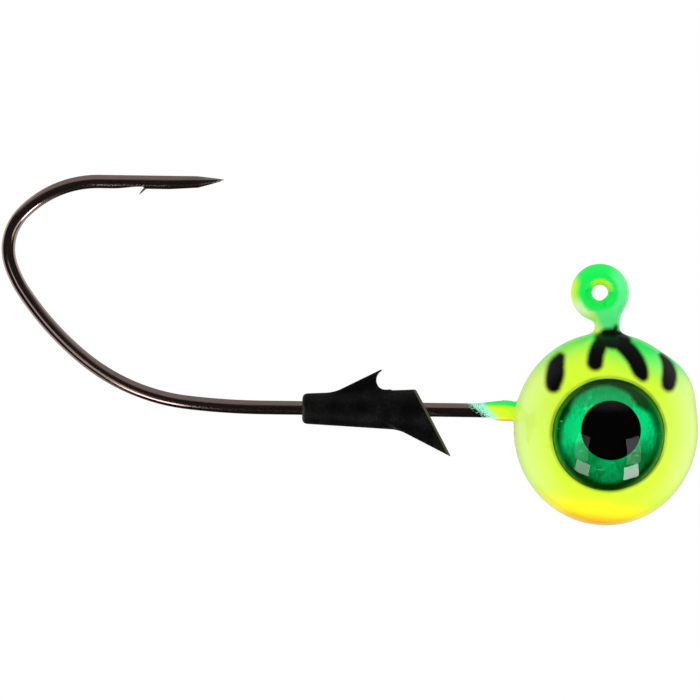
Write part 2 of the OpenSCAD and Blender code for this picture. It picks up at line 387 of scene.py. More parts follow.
def holographic_foil():
    """Green holographic foil: crinkled mirror patches, painted reflection brightest half-way out, painted
    shade dark towards the rim.
    """
    made, tree = new_material("holographic_foil_green")
    spot = place(tree)
    bend = add(tree, "ShaderNodeTexNoise", inputs={"Scale": 1 / 0.7, "Detail": 3.0}, links={"Vector": spot})
    pulled = add(tree, "ShaderNodeVectorMath", {"operation": "MULTIPLY_ADD"}, {1: (0.9, 0.9, 0.9)},
                 {0: bend.outputs["Color"], 2: spot}).outputs[0]
    patch = add(tree, "ShaderNodeTexVoronoi", inputs={"Scale": 1 / 1.1},
                links={"Vector": pulled}).outputs["Color"]
    wash = noise(tree, spot, 1.3, 3.0)
    crease = noise(tree, place(tree, (2.6, 1, 0.7)), 0.35, 4.0, 0.65)
    radius = stored(tree, "radius")
    # Painted reflection: bright zones where the creased foil would mirror the lamps, broken up by crease,
    # patch and wash noise.
    painted_sheen = stored(tree, "painted_sheen")
    for pattern, reach in ((crease, 0.5), (patch, 0.22), (wash, 0.4)):
        painted_sheen = math_node(tree, "ADD", painted_sheen, swung(tree, pattern, reach))
    colour = mixed(tree, levels(tree, painted_sheen, 0.1, 0.4), "#02480c", "#068038")
    colour = mixed(tree, levels(tree, painted_sheen, 0.4, 0.72), colour, "#08b468")
    colour = mixed(tree, levels(tree, painted_sheen, 0.72, 1.0), colour, "#0af090")
    scratch = noise(tree, place(tree, (1.1, 1, 3.4), (0.4, 0, 0.9)), 0.8, 2.0)
    colour = mixed(tree, levels(tree, scratch, 0.7, 0.74, 0.0, 0.5), colour, "#4df0ac")
    # Painted shade and light: a dark ring where the dome's edge would darken the foil, lighter at the left
    # and right.
    rim = mixed(tree, stored(tree, "rim"), "#044a06", "#45c83a")
    colour = mixed(tree, levels(tree, radius, 0.87, 0.94), colour, rim)
    shader = add(tree, "ShaderNodeBsdfPrincipled", inputs={"Metallic": 0.6, "Specular IOR Level": 0.0},
                 links={"Base Color": colour, "Normal": bumped(tree, crease, 0.05),
                        "Roughness": levels(tree, wash, 0.3, 0.7, 0.3, 0.45)})
    close(tree, shader)
    return made


def printed_black():
    """Screen-printed ink: flat black with a faint mesh mark."""
    made, tree = new_material("screen_print_black")
    spot = place(tree)
    mesh_mark = noise(tree, spot, 0.1, 1.0)
    colour = mixed(tree, mesh_mark, "#000000", "#060505")
    shader = add(tree, "ShaderNodeBsdfPrincipled", inputs={"Roughness": 0.5, "Specular IOR Level": 0.0},
                 links={"Base Color": colour, "Normal": bumped(tree, mesh_mark, 0.003)})
    close(tree, shader)
    return made


def clear_resin():
    """Poured polyurethane dome: water-clear, a liquid-smooth skin with a faint pull to the rim."""
    made, tree = new_material("poured_resin_clear")
    ripple = noise(tree, place(tree), 2.5, 1.0)
    shader = add(tree, "ShaderNodeBsdfPrincipled",
                 inputs={"Base Color": linear("#f2fff6"), "Transmission Weight": 1.0, "IOR": 1.5,
                         "Roughness": 0.0},
                 links={"Normal": bumped(tree, ripple, 0.01)})
    close(tree, shader)
    return made


def cast_lead():
    """Gravity-cast lead alloy: dull blue-grey, cold-flow wrinkles."""
    made, tree = new_material("cast_lead_alloy_dull")
    spot = place(tree)
    wrinkle = noise(tree, spot, 0.8, 5.0)
    colour = mixed(tree, wrinkle, "#6f7277", "#8f9297")
    shader = add(tree, "ShaderNodeBsdfPrincipled", inputs={"Metallic": 1.0},
                 links={"Base Color": colour, "Normal": bumped(tree, wrinkle, 0.04),
                        "Roughness": levels(tree, wrinkle, 0.3, 0.7, 0.45, 0.65)})
    close(tree, shader)
    return made


def foam_tape():
    """White acrylic foam tape: matt, fine closed cells."""
    made, tree = new_material("acrylic_foam_tape_white")
    cells = add(tree, "ShaderNodeTexVoronoi", inputs={"Scale": 1 / 0.18},
                links={"Vector": place(tree)}).outputs["Distance"]
    colour = mixed(tree, cells, "#dedbd0", "#f4f2ea")
    shader = add(tree, "ShaderNodeBsdfPrincipled", inputs={"Roughness": 0.8},
                 links={"Base Color": colour, "Normal": bumped(tree, cells, 0.03)})
    close(tree, shader)
    return made


def pale_card():
    """Pale studio card for the floor: matt, a faint fibre."""
    made, tree = new_material("pale_card_matt")
    fibre = noise(tree, place(tree), 4.0, 3.0)
    colour = mixed(tree, fibre, "#ececec", "#f2f2f2")
    shader = add(tree, "ShaderNodeBsdfPrincipled", inputs={"Roughness": 0.85}, links={"Base Color": colour})
    close(tree, shader)
    return made


# ---- Painted head and line eye, one skin ----

PAINT = 0.2                             # thickness of the coat over the lead
# The swelling that the cut-off gate leaves: its radius, and where its middle is seen from the ball's.
GATE_R = 3.75
GATE_UP = math.radians(36)
GATE_FAR = 3.24
# Radius of the collar along the shank, over and under the wire: the paint runs further back on top.
COLLAR_TOP = ((-9.1, 0.46), (-8.9, 0.5), (-8.3, 0.56), (-7.5, 0.67), (-6.7, 0.765), (-6.2, 0.72), (-5.7, 0.6))
COLLAR_UNDER = ((-7.7, 0.42), (-7.45, 0.62), (-7.2, 0.71), (-6.7, 0.73), (-6.2, 0.72), (-5.7, 0.65))
COLLAR_TIP = COLLAR_TOP[0][0]
NECK_R, NECK_FILLET = 0.77, 0.8
RING_TUBE, RING_FILLET = 0.75, 0.5
STEM_FOOT = (0.86, 0, -1.0)             # where the neck's wire comes out of the ring
STEM_R, STEM_FILLET = (0.74, 0.72), 0.3
# The crescent beside the hole, where the paint sinks between ring and wire end.
CRESCENT_R, CRESCENT_OUT, CRESCENT_TUBE = 0.86, 0.62, 0.15
CRESCENT_AT, CRESCENT_SPAN = 232, 60    # degrees
CRESCENT_EDGE = 0.14
SOCKET_R, SOCKET_EDGE = lens_r + 0.03, 0.08
LIP_R = lens_r + 0.13                   # the bead of paint round a socket
LIP_TUBE = 0.1
# Where the guns blow from, and the side of the gate that gets a light green painted highlight.
GREEN_FROM = np.array((0.3, 0.0, 0.95))
ORANGE_FROM = np.array((-0.1, 0.0, -0.99))
GATE_GLINT_SIDE = np.array((0.78, 0.0, 0.62))
# The airbrushed bars in side view, from the ball's middle: x, z and half width of each point.
BARS = [
    [(-3.44, 5.15, 0.26), (-3.78, 4.5, 0.56), (-3.88, 3.8, 0.62), (-4.0, 3.1, 0.48)],
    [(-0.15, 6.6, 0.45), (-0.58, 6.2, 0.5), (-0.95, 5.5, 0.54), (-1.1, 4.75, 0.53)],
    [(-0.1, 6.65, 0.5), (0.4, 6.5, 0.6), (1.2, 5.85, 0.6), (1.78, 5.1, 0.6), (2.1, 4.3, 0.58),
     (2.3, 3.85, 0.35)],
    [(3.8, 5.3, 0.2), (4.12, 4.85, 0.36), (4.33, 4.2, 0.54), (4.24, 3.65, 0.58), (4.16, 3.3, 0.5)],
    [(-0.5, 6.35, 0.5), (0.3, 6.5, 0.78), (0.95, 6.25, 0.65)],
    [(0.35, 6.7, 0.35), (0.6, 7.3, 0.12)],
]


def eye_socket(x, y, z):
    """Distance from the two eye sockets, which open sideways."""
    across = np.hypot(x - eye_at[0], z - eye_at[2])
    return np.maximum(across - SOCKET_R, SOCKET_FLOOR - np.abs(y))


def collar_radius(x, z):
    """Radius of the painted collar round the shank at a place along it, over or under the wire."""
    top = np.interp(x, *zip(*COLLAR_TOP))
    under = np.interp(x, *zip(*COLLAR_UNDER))
    share = ramp(z - SHANK_Z, -0.6, 0.6)
    return under + (top - under) * share


def head_field(x, y, z):
    """Distance from the painted skin: ball, gate, collar, sockets, neck and ring, run into each other."""
    dx, dz = x - ball_at[0], z - ball_at[2]
    near = np.sqrt((dx / BALL[0]) ** 2 + (y / BALL[1]) ** 2 + (dz / BALL[2]) ** 2)
    steep = np.sqrt((dx / BALL[0] ** 2) ** 2 + (y / BALL[1] ** 2) ** 2 + (dz / BALL[2] ** 2) ** 2)
    ball = near * (near - 1) / steep
    gate = np.sqrt((dx - GATE_FAR * math.cos(GATE_UP)) ** 2 + y ** 2
                   + (dz - GATE_FAR * math.sin(GATE_UP)) ** 2) - GATE_R
    body = blended(ball, gate, FILLET)
    collar = np.hypot(y, z - SHANK_Z) - collar_radius(x, z)
    collar = np.maximum(collar, np.maximum(COLLAR_TIP - x, x + 4))
    body = blended(body, collar, FILLET)
    body = cut(body, eye_socket(x, y, z), SOCKET_EDGE)
    neck = round_bar(x, y, z, (NECK_X, 0, ball_at[2] + 5), (NECK_X, 0, -2.0), NECK_R, NECK_R)
    body = blended(body, neck, NECK_FILLET)
    ring = np.hypot(np.hypot(x, z) - RING_R, y) - RING_TUBE
    stem = round_bar(x, y, z, (NECK_X, 0, -2.1), STEM_FOOT, *STEM_R)
    ring = blended(ring, stem, STEM_FILLET)
    crescent = np.hypot(np.hypot(x, z) - CRESCENT_R, np.abs(y) - CRESCENT_OUT) - CRESCENT_TUBE
    past_end = np.abs(np.degrees(np.arctan2(z, x)) % 360 - CRESCENT_AT) / CRESCENT_SPAN - 1
    return blended(body, cut(ring, np.maximum(crescent, past_end), CRESCENT_EDGE), RING_FILLET)


def brushed(bar, times=3):
    """Rounds the corners of a bar's middle line by cutting them, widths included."""
    line = np.array(bar, float)
    for _ in range(times):
        inner = np.empty((2 * len(line) - 2, 3))
        inner[0::2] = 0.75 * line[:-1] + 0.25 * line[1:]
        inner[1::2] = 0.25 * line[:-1] + 0.75 * line[1:]
        line = np.vstack([line[:1], inner, line[-1:]])
    return line


def bar_cover(x, z):
    """How far inside an airbrushed bar a point is: 1 at its middle line, 0 at its soft edge's end."""
    most = np.zeros_like(x)
    for bar in map(brushed, BARS):
        for (x0, z0, w0), (x1, z1, w1) in zip(bar, bar[1:]):
            run_x, run_z = x1 - x0, z1 - z0
            t = np.clip(((x - x0) * run_x + (z - z0) * run_z) / (run_x ** 2 + run_z ** 2), 0, 1)
            away = np.hypot(x - x0 - t * run_x, z - z0 - t * run_z)
            width = w0 + (w1 - w0) * t
            most = np.maximum(most, 1 - ramp(away, width - 0.4, width + 0.5))
    return most


def spray(piece, points, facing):
    """How much of each paint a point got, by the way it faces and where it is.

    Green comes from above and orange from below, and black lies in the bars. A whitish painted highlight
    lies at the ball's sides and the ring's lower left edge; the coat runs out to light green on the wire,
    and a light green painted highlight lies on the ring's right side, the stem and one side of the gate.
    """
    x, y, z = points.T
    on_ring = ramp(z, -3.4, -2.3)
    on_collar = (x < -6) & (np.hypot(y, z - SHANK_Z) < 0.9)
    across = np.abs(facing[:, 0])
    from_above = facing @ GREEN_FROM + 0.35 * ramp(ball_at[0] - x, 1.5, 5.5) * (x > -6)
    turn, out = np.degrees(np.arctan2(z, x)) % 360, np.hypot(x, z)
    outside = 1 - ramp(np.abs(turn - 200), 30, 75)
    inside = 1 - ramp(np.abs(turn - 75), 30, 110)
    bare = np.maximum(outside * ramp(out, 1.2, 2.0), inside * (1 - ramp(out, 0.75, 1.25)))
    bare = np.maximum(bare, ramp(-x - 0.45 * z, 0.55, 1.3) * (z < -1.4))
    green = np.maximum(ramp(from_above + 0.3 * on_collar, 0.37, 1.08), on_ring * (1 - 0.72 * bare))
    point_values(piece, "green", green)
    right = (1 - ramp(np.abs((turn + 180) % 360 - 155), 60, 130)) * ramp(out, 1.0, 1.4)
    low_left = (1 - ramp(np.abs(turn - 225), 10, 40)) * ramp(out, 1.3, 1.8)
    stem = ramp(-z, 1.9, 2.5) * (1 - ramp(-z, 3.0, 3.6))
    gate_glint = (1 - on_ring) * (x > 2) * ramp(facing @ GATE_GLINT_SIDE, 0.85, 1.0)
    # Painted highlight: light green on the ring's right side, the stem and one side of the gate.
    mint_highlight = np.maximum(0.38 * on_ring * np.maximum(right, stem), 0.42 * gate_glint)
    sides = ramp(across, 0.4, 1.05) * (1 - ramp(-facing[:, 2], 0.45, 0.85)) * (1 - on_ring)
    # Painted highlight: whitish on the ball's sides and on the ring's lower left outer edge.
    point_values(piece, "painted_rim_highlight", np.maximum(0.9 * on_ring * low_left, 0.3 * sides * (x > -6)))
    from_below = facing @ ORANGE_FROM
    point_values(piece, "orange", ramp(from_below - 1.5 * on_ring + 0.1 * on_collar, 0.56, 1.0))
    point_values(piece, "stripe", bar_cover(x - ball_at[0], z - ball_at[2]))
    # The coat running out to light green on the wire is real; the rest of this value is the painted highlight
    # above.
    dusting = np.where(x < -6.5, 1 - ramp(x + 0.9 * (z - SHANK_Z), -8.2, -7.25), 0)
    point_values(piece, "thin_coat_and_highlight", np.maximum(dusting, mint_highlight))


def painted_head(material):
    """The coat over ball, collar, neck and ring, as one skin."""
    low = np.minimum(paint_low, ring_low)
    low[0] = COLLAR_TIP
    high = np.maximum(paint_high, ring_high)
    low[1], high[1] = -BALL[1], BALL[1]
    points, faces = skinned(head_field, low, high, HEAD_STEP)
    piece = piece_from("painted_head", points, faces, material, "jig")
    facing = slope(head_field, points, 0.15)
    spray(piece, points, facing / np.maximum(np.linalg.norm(facing, axis=1), 1e-6)[:, None])
    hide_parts("head_paint", "ring_paint")


def socket_lip(name, way, material):
    """The bead that the paint pulls into along a socket's edge."""
    points, facing = [], []
    turns, sides = 256, 16
    for a in np.linspace(0, 2 * math.pi, turns, endpoint=False):
        dx, dz = LIP_R * math.cos(a), LIP_R * math.sin(a)
        out = BALL[1] * math.sqrt(1 - (dx / BALL[0]) ** 2 - ((dz + eye_at[2] - ball_at[2]) / BALL[2]) ** 2)
        for b in np.linspace(0, 2 * math.pi, sides, endpoint=False):
            r = LIP_R + LIP_TUBE * math.cos(b)
            points.append((eye_at[0] + r * math.cos(a), way * (out - 0.02 + LIP_TUBE * math.sin(b)),
                           eye_at[2] + r * math.sin(a)))
            facing.append((math.cos(a) * 0.6, way * 0.8, math.sin(a) * 0.6))
    faces = []
    for i in range(turns):
        for k in range(sides):
            n, m = (i + 1) % turns * sides, (k + 1) % sides
            face = (i * sides + k, i * sides + m, n + m, n + k)
            faces.append(face if way > 0 else face[::-1])
    piece = piece_from(name, points, faces, material, "jig")
    spray(piece, np.array(points), np.array(facing))
    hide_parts("head_paint")


def lead_field(x, y, z):
    """Distance from the lead: the head less its paint, up to the foot of the neck, without the wire."""
    core = np.maximum(head_field(x, y, z) + PAINT, z - (ball_at[2] + BALL[2] + PAINT))
    wire = np.minimum(round_bar(x, y, z, (-12, 0, SHANK_Z), (NECK_X, 0, SHANK_Z), WIRE_R, WIRE_R),
                      round_bar(x, y, z, (NECK_X, 0, SHANK_Z), (NECK_X, 0, 0), WIRE_R, WIRE_R))
    return cut(core, wire, 0.05)


def lead_core(material):
    """The cast ball under the paint."""
    low, high = node_box("head_casting")
    points, faces = skinned(lead_field, low, high, LEAD_STEP)
    piece = piece_from("lead_casting", points, faces, material, "jig")
    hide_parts("head_casting")


# ---- Hook ----

SHANK_END = -23.95                      # where the wire starts to bend
# The bend, as arcs that run into each other: radius and degrees of each.
BENDS = [(52, 6), (14.5, 33), (21.5, 17), (7.8, 15), (3.7, 63), (7.5, 46)]
POINT_LEN = 8.95                        # straight wire from the bend to the tip
GRIND_LEN = 1.9                         # the ground cone
TAPER_LEN = 2.0                         # the wire thins before it
SHOULDER_R = 0.42                       # wire where the cone starts
TIP_R = 0.012
TIP_RISE = 0.24
BARB_BACK = 5.95                        # from the tip of the point back to the tip of the barb
BARB_OUT = 0.52                         # how far the barb stands off the wire
NOTCH_LEN, NOTCH_DEEP = 2.0, 0.16       # the cut that raised the barb
ELBOW_R = 1.6                           # the right angle inside the ball
RING_END = math.radians(246)
WIRE_SIDES = 32
BARB_SIDES = 12
BARB_RINGS = 9


def arc(middle, radius, start, end, step=0.12):
    """Points of an arc in side view, angles in radians, without its last point."""
    count = max(2, int(abs(end - start) * radius / step))
    angles = np.linspace(start, end, count, endpoint=False)
    return [(middle[0] + radius * math.cos(a), middle[1] + radius * math.sin(a)) for a in angles]


def straight(start, end, step):
    """Points of a straight run in side view, without its last point."""
    count = max(2, int(math.dist(start, end) / step))
    return [tuple(np.array(start) + (np.array(end) - np.array(start)) * i / count) for i in range(count)]


def hook_path():
    """Side-view points of the wire's middle line from the ring to the tip, and the radius at each."""
    join = math.acos((NECK_X + NECK_TURN_R) / (RING_R + NECK_TURN_R))
    neck_top = -(RING_R + NECK_TURN_R) * math.sin(join)
    path = arc((0, 0), RING_R, RING_END, -join)
    path += arc((NECK_X + NECK_TURN_R, neck_top), NECK_TURN_R, math.pi - join, math.pi)
    elbow = (NECK_X - ELBOW_R, SHANK_Z + ELBOW_R)
    path += straight((NECK_X, neck_top), (NECK_X, elbow[1]), 0.3)
    path += arc(elbow, ELBOW_R, 0, -math.pi / 2)
    path += straight((elbow[0], SHANK_Z), (SHANK_END, SHANK_Z), 0.3)
    at = np.array([SHANK_END, SHANK_Z])
    heading = math.pi
    for radius, degrees in BENDS:
        side = np.array([math.sin(heading), -math.cos(heading)])
        middle = at + radius * side
        start = math.atan2(-side[1], -side[0])
        turn = math.radians(degrees)
        path += arc(middle, radius, start, start - turn)
        end = start - turn
        at = middle + radius * np.array([math.cos(end), math.sin(end)])
        heading -= turn
    tip_x = at[0] + POINT_LEN
    path += straight(tuple(at), (tip_x, at[1]), 0.045)
    path.append((tip_x, at[1]))
    path = np.array(path)
    radius = np.full(len(path), WIRE_R)
    whole = np.concatenate([[0], np.cumsum(np.linalg.norm(np.diff(path, axis=0), axis=1))])
    left = whole[-1] - whole
    radius -= 0.015 * ramp(whole, 30, 55)
    end_r = radius[-1]
    grind, taper = left < GRIND_LEN, (left >= GRIND_LEN) & (left < GRIND_LEN + TAPER_LEN)
    ease = 1 - (left[taper] - GRIND_LEN) / TAPER_LEN
    radius[taper] = end_r - (end_r - SHOULDER_R) * ease
    path[taper, 1] += (end_r - SHOULDER_R) * ease
    ease = left[grind] / GRIND_LEN
    radius[grind] = TIP_R + (SHOULDER_R - TIP_R) * ease ** 0.85
    path[grind, 1] += TIP_RISE - (TIP_RISE - end_r + SHOULDER_R) * ease
    return path, radius, (tip_x, at[1], end_r)


def sweep_tree(material):
    """Geometry Nodes: a round wire along a curve, its thickness from the curve's own radius."""
    tree = bpy.data.node_groups.new("wire_sweep", "GeometryNodeTree")
    tree.interface.new_socket("Geometry", in_out="INPUT", socket_type="NodeSocketGeometry")
    tree.interface.new_socket("Wire radius", in_out="INPUT", socket_type="NodeSocketFloat")
    tree.interface.new_socket("Sides", in_out="INPUT", socket_type="NodeSocketInt")
    tree.interface.new_socket("Geometry", in_out="OUTPUT", socket_type="NodeSocketGeometry")
    given = add(tree, "NodeGroupInput")
    section = add(tree, "GeometryNodeCurvePrimitiveCircle",
                  links={"Radius": given.outputs["Wire radius"], "Resolution": given.outputs["Sides"]})
    along = add(tree, "GeometryNodeSplineParameter")
    line = add(tree, "GeometryNodeStoreNamedAttribute", {"data_type": "FLOAT", "domain": "POINT"},
               {"Name": "along"}, {"Geometry": given.outputs["Geometry"], "Value": along.outputs["Length"]})
    turn = add(tree, "GeometryNodeStoreNamedAttribute", {"data_type": "FLOAT", "domain": "POINT"},
               {"Name": "around"}, {"Geometry": section.outputs["Curve"], "Value": along.outputs["Factor"]})
    drawn = add(tree, "GeometryNodeInputRadius")
    tube = add(tree, "GeometryNodeCurveToMesh", inputs={"Fill Caps": True},
               links={"Curve": line.outputs["Geometry"], "Profile Curve": turn.outputs["Geometry"],
                      "Scale": drawn.outputs["Radius"]})
    smooth = add(tree, "GeometryNodeSetShadeSmooth", links={"Geometry": tube.outputs["Mesh"]})
    real = add(tree, "GeometryNodeRealizeInstances", links={"Geometry": smooth.outputs["Geometry"]})
    finish = add(tree, "GeometryNodeSetMaterial", inputs={"Material": material},
                 links={"Geometry": real.outputs["Geometry"]})
    add(tree, "NodeGroupOutput", links={"Geometry": finish.outputs["Geometry"]})
    return tree


def plain_mesh(source, tree, settings):
    """Runs a Geometry Nodes tree on an object and returns the mesh that it makes."""
    modifier = source.modifiers.new("made", "NODES")
    modifier.node_group = tree
    for item in tree.interface.items_tree:
        if item.item_type == "SOCKET" and item.in_out == "INPUT" and item.name in settings:
            modifier[item.identifier] = settings[item.name]
    graph = bpy.context.evaluated_depsgraph_get()
    graph.update()
    made = bpy.data.meshes.new_from_object(source.evaluated_get(graph), depsgraph=graph)
    source.modifiers.remove(modifier)
    bpy.data.objects.remove(source)
    return made


def barb_sliver(tip, radius):
    """The raised barb: a sliver of the wire lifted away from its lower side, pointing back."""
    rings = []
    for t in np.linspace(0, 1, BARB_RINGS):
        x = tip[0] - BARB_BACK + 0.4 * (1 - t) ** 1.15 - 0.1 * t
        z = tip[1] - radius + 0.12 - BARB_OUT * t
        half = 0.24 * (1 - t) + 0.02
        deep = 0.22 * (1 - t) ** 0.8 + 0.02
        rings.append([(x + deep * math.cos(a), half * math.sin(a), z + 0.35 * deep * math.cos(a))
                      for a in np.linspace(0, 2 * math.pi, BARB_SIDES, endpoint=False)])
    points = [p for ring in rings for p in ring]
    faces = []
    for first in range(0, (BARB_RINGS - 1) * BARB_SIDES, BARB_SIDES):
        for k in range(BARB_SIDES):
            n = (k + 1) % BARB_SIDES
            faces.append((first + k, first + n, first + BARB_SIDES + n, first + BARB_SIDES + k))
    root = tuple(range(BARB_SIDES))
    faces += [root[::-1], tuple(i + len(points) - BARB_SIDES for i in root)]
    return np.array(points), faces


def bent_hook(material):
    """The bent wire with its ground point, its raised barb and what its material reads."""
    path, radius, tip = hook_path()
    curve = bpy.data.curves.new("hook_line", "CURVE")
    curve.dimensions = "3D"
    spline = curve.splines.new("POLY")
    spline.points.add(len(path) - 1)
    for point, (x, z), r in zip(spline.points, path, radius):
        point.co = (x, 0, z, 1)
        point.radius = r / WIRE_R
    holder = bpy.data.objects.new("hook_line", curve)
    bpy.context.scene.collection.objects.link(holder)
    mesh = plain_mesh(holder, sweep_tree(material), {"Wire radius": WIRE_R, "Sides": WIRE_SIDES})
    points = np.array([v.co for v in mesh.vertices])
    faces = [tuple(f.vertices) for f in mesh.polygons]
    along = np.array([v.value for v in mesh.attributes["along"].data])
    around = np.array([v.value for v in mesh.attributes["around"].data])
    tip_x, tip_z, end_r = tip
    behind = points[:, 0] - (tip_x - BARB_BACK)
    by_point = points[:, 2] > 5
    notch = np.where(behind < 0.14, ramp(behind, -NOTCH_LEN, 0.14), 1 - ramp(behind, 0.14, 0.22))
    low = np.clip((tip_z - end_r + NOTCH_DEEP - points[:, 2]), 0, NOTCH_DEEP)
    points[:, 2] += np.where(by_point, low * notch, 0)
    barb_points, barb_faces = barb_sliver((tip_x, tip_z), end_r)
    faces += [tuple(i + len(points) for i in f) for f in barb_faces]
    ground = np.where(by_point, ramp(points[:, 0], tip_x - GRIND_LEN, tip_x - 0.9), 0)
    ground = np.concatenate([ground, np.full(len(barb_points), 0.4)])
    points = np.concatenate([points, barb_points])
    along = np.concatenate([along, np.full(len(barb_points), along.max())])
    around = np.concatenate([around, np.linspace(0, 1, len(barb_points))])
    piece = piece_from("bent_hook", points, faces, material, "jig")
    point_values(piece, "along", along)
    point_values(piece, "around", around)
    point_values(piece, "ground", ground)
    run = points[:, 0] + 1.3 * (points[:, 2] - SHANK_Z)
    near = (points[:, 2] < -7.5) & (points[:, 0] < -5)
    point_values(piece, "overspray", np.where(near, ramp(run, -9.6, -8.0), 0))
    bpy.data.meshes.remove(mesh)
    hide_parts("hook")


# ---- Bait keeper ----

# u counts forwards from its rear end, v up from the wire's middle, w sideways.
SLEEVE_R, SLEEVE_FLARE = 1.08, 0.05     # radius at the rear end, and its growth per millimetre
SLEEVE_LEN = 10.3
FIN_LEAN, FIN_AT = 0.467, (2.35, 1.2)   # its sloping back edge: angle in radians and one point, u and v
FIN_FRONT = (5.62, 2.85)                # upper front corner
HOLLOW_R, HOLLOW_AT = 0.75, (6.03, 2.09)  # the round hollow in front of the fin
SPUR_LEAN, SPUR_AT = 0.465, (6.5, -1.24)  # the sloping underside of its lower barb, the spur
SPUR_START = 5.5
SPUR_HALF = ((SPUR_START, 1.35), (9.4, 1.05), (10.9, 0.3))  # its half width along u
THIN_EDGE = 0.2                         # rounding of the flat sides
REAR_EDGE, FRONT_EDGE, BORE_EDGE, HOLLOW_EDGE = 0.4, 0.1, 0.06, 0.06
FRONT_LEAN = math.radians(28.5)         # slant of the front face
FRONT_AT = (8.1, 1.46)                  # its upper corner
BORE_R = 0.53


def keeper_sides(x, y, z):
    """The keeper before its front is cut to the slant and its bore is made."""
    u, v, w = x - keeper_low[0], z - SHANK_Z, np.abs(y)
    body = np.hypot(v + 0.04, w) - (SLEEVE_R + SLEEVE_FLARE * u)
    body = np.maximum(body, u - SLEEVE_LEN)
    fin_back = (v - FIN_AT[1]) * math.cos(FIN_LEAN) - (u - FIN_AT[0]) * math.sin(FIN_LEAN)
    fin = np.maximum(fin_back, (u - FIN_FRONT[0]) * 0.91 + (v - FIN_FRONT[1]) * 0.4)
    fin = np.maximum(fin, 0.3 - v)
    fin = cut(fin, np.hypot(u - HOLLOW_AT[0], v - HOLLOW_AT[1]) - HOLLOW_R, HOLLOW_EDGE)
    fin = cut(fin, 0.58 - 0.1 * np.clip(v - 1, 0, 2) - w, THIN_EDGE)
    under = -(v - SPUR_AT[1]) * math.cos(SPUR_LEAN) - (u - SPUR_AT[0]) * math.sin(SPUR_LEAN)
    spur = np.maximum(np.maximum(under, v), SPUR_START - u)
    width = np.interp(np.ravel(u), *zip(*SPUR_HALF)).reshape(np.shape(u))
    spur = cut(spur, width - w, THIN_EDGE)
    body = blended(blended(body, fin, FILLET), spur, FILLET)
    return cut(body, u, REAR_EDGE)


def keeper_front(x, z):
    """How far past the slanted front face a point is."""
    u, v = x - keeper_low[0], z - SHANK_Z
    return (u - FRONT_AT[0]) * math.cos(FRONT_LEAN) + (v - FRONT_AT[1]) * math.sin(FRONT_LEAN)


def keeper_field(x, y, z):
    """Distance from the whole keeper."""
    body = cut(keeper_sides(x, y, z), -keeper_front(x, z), FRONT_EDGE)
    return cut(body, np.hypot(z - SHANK_Z, y) - BORE_R, BORE_EDGE)


def bait_keeper_piece(material):
    """The moulded keeper, with a painted highlight along the rim of its front face and its rear end marked
    for the material.
    """
    points, faces = skinned(keeper_field, keeper_low, keeper_high, KEEPER_STEP)
    piece = piece_from("moulded_keeper", points, faces, material, "keeper")
    x, y, z = points.T
    # Painted highlight along the front face's rim and at the rear end.
    rim = ramp(keeper_front(x, z), -0.34, -0.05) * ramp(keeper_sides(x, y, z), -0.3, -0.06)
    point_values(piece, "edge", np.maximum(rim, 0.52 * (1 - ramp(x - keeper_low[0], 0.1, 0.45))))
    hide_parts("bait_keeper")


# ---- Eyes ----

RIM_OUT = 5.55                          # the dome's edge, out from the middle plane
DOME_H = dome_top - RIM_OUT
FOIL_THICK = 0.1
FOIL_R = lens_r - 0.05
INK_RISE, INK_SINK = 0.03, 0.04         # the print stands off the foil and reaches into it


def turned_piece(name, profile, middle, way, material, segments=96):
    """A solid turned about the sideways axis through middle, from (radius, out) points.

    The profile starts and ends on the axis. way is -1 on the right side and 1 on the left.
    """
    points = [(middle[0], way * profile[0][1], middle[1])]
    for r, out in profile[1:-1]:
        for a in np.linspace(0, 2 * math.pi, segments, endpoint=False):
            points.append((middle[0] + r * math.cos(a), way * out, middle[1] + r * math.sin(a)))
    points.append((middle[0], way * profile[-1][1], middle[1]))
    sides = [(k, (k + 1) % segments) for k in range(segments)]
    faces = [(0, 1 + n, 1 + k) for k, n in sides]
    last = len(points) - 1 - segments
    for first in range(1, last, segments):
        faces += [(first + k, first + n, first + segments + n, first + segments + k) for k, n in sides]
    faces += [(last + k, last + n, len(points) - 1) for k, n in sides]
    if way > 0:
        faces = [tuple(reversed(f)) for f in faces]
    return piece_from(name, points, faces, material, "jig")


def disc_profile(radius, low, high, rings, edge=0.02):
    """Half section of a flat disc between two depths, its edge bevelled."""
    inner = list(np.linspace(0, radius - edge, rings))
    return ([(r, low) for r in inner] + [(radius, low + edge), (radius, high - edge)]
            + [(r, high) for r in reversed(inner)])


def dome_profile():
    """Half section of the resin: a flat back, an upright edge and a cap of a sphere."""
    cap_r = (lens_r ** 2 + DOME_H ** 2) / (2 * DOME_H)
    bottom = foil_top - 0.05
    profile = [(r, bottom) for r in np.linspace(0, lens_r - 0.05, 12)]
    profile += [(lens_r, bottom + 0.05), (lens_r, RIM_OUT - 0.12)]
    limit = math.asin((lens_r - 0.05) / cap_r)
    for a in np.linspace(limit, 0, 40):
        profile.append((cap_r * math.sin(a), dome_top - cap_r * (1 - math.cos(a))))
    return profile


# Painted reflection on the foil, where its creased facets would mirror the lamps: direction, how far out it
# reaches, its brightness, and that beyond it.
GLARE_ZONES = ((0, 0.79, 0.95, 0.42), (28, 0.76, 1.0, 0.3), (46, 0.66, 0.85, 0.0), (65, 0.76, 0.75, 0.0),
         (90, 0.84, 0.74, 0.05), (112, 0.84, 0.78, 0.05), (132, 0.84, 0.88, 0.1), (150, 0.77, 0.98, 0.0),
         (172, 0.79, 1.0, 0.25), (192, 0.82, 0.88, 0.35), (212, 0.8, 0.6, 0.2), (235, 0.8, 0.42, 0.0),
         (268, 0.83, 0.66, 0.0), (300, 0.8, 0.5, 0.1), (330, 0.79, 0.45, 0.25), (347, 0.79, 0.75, 0.4))


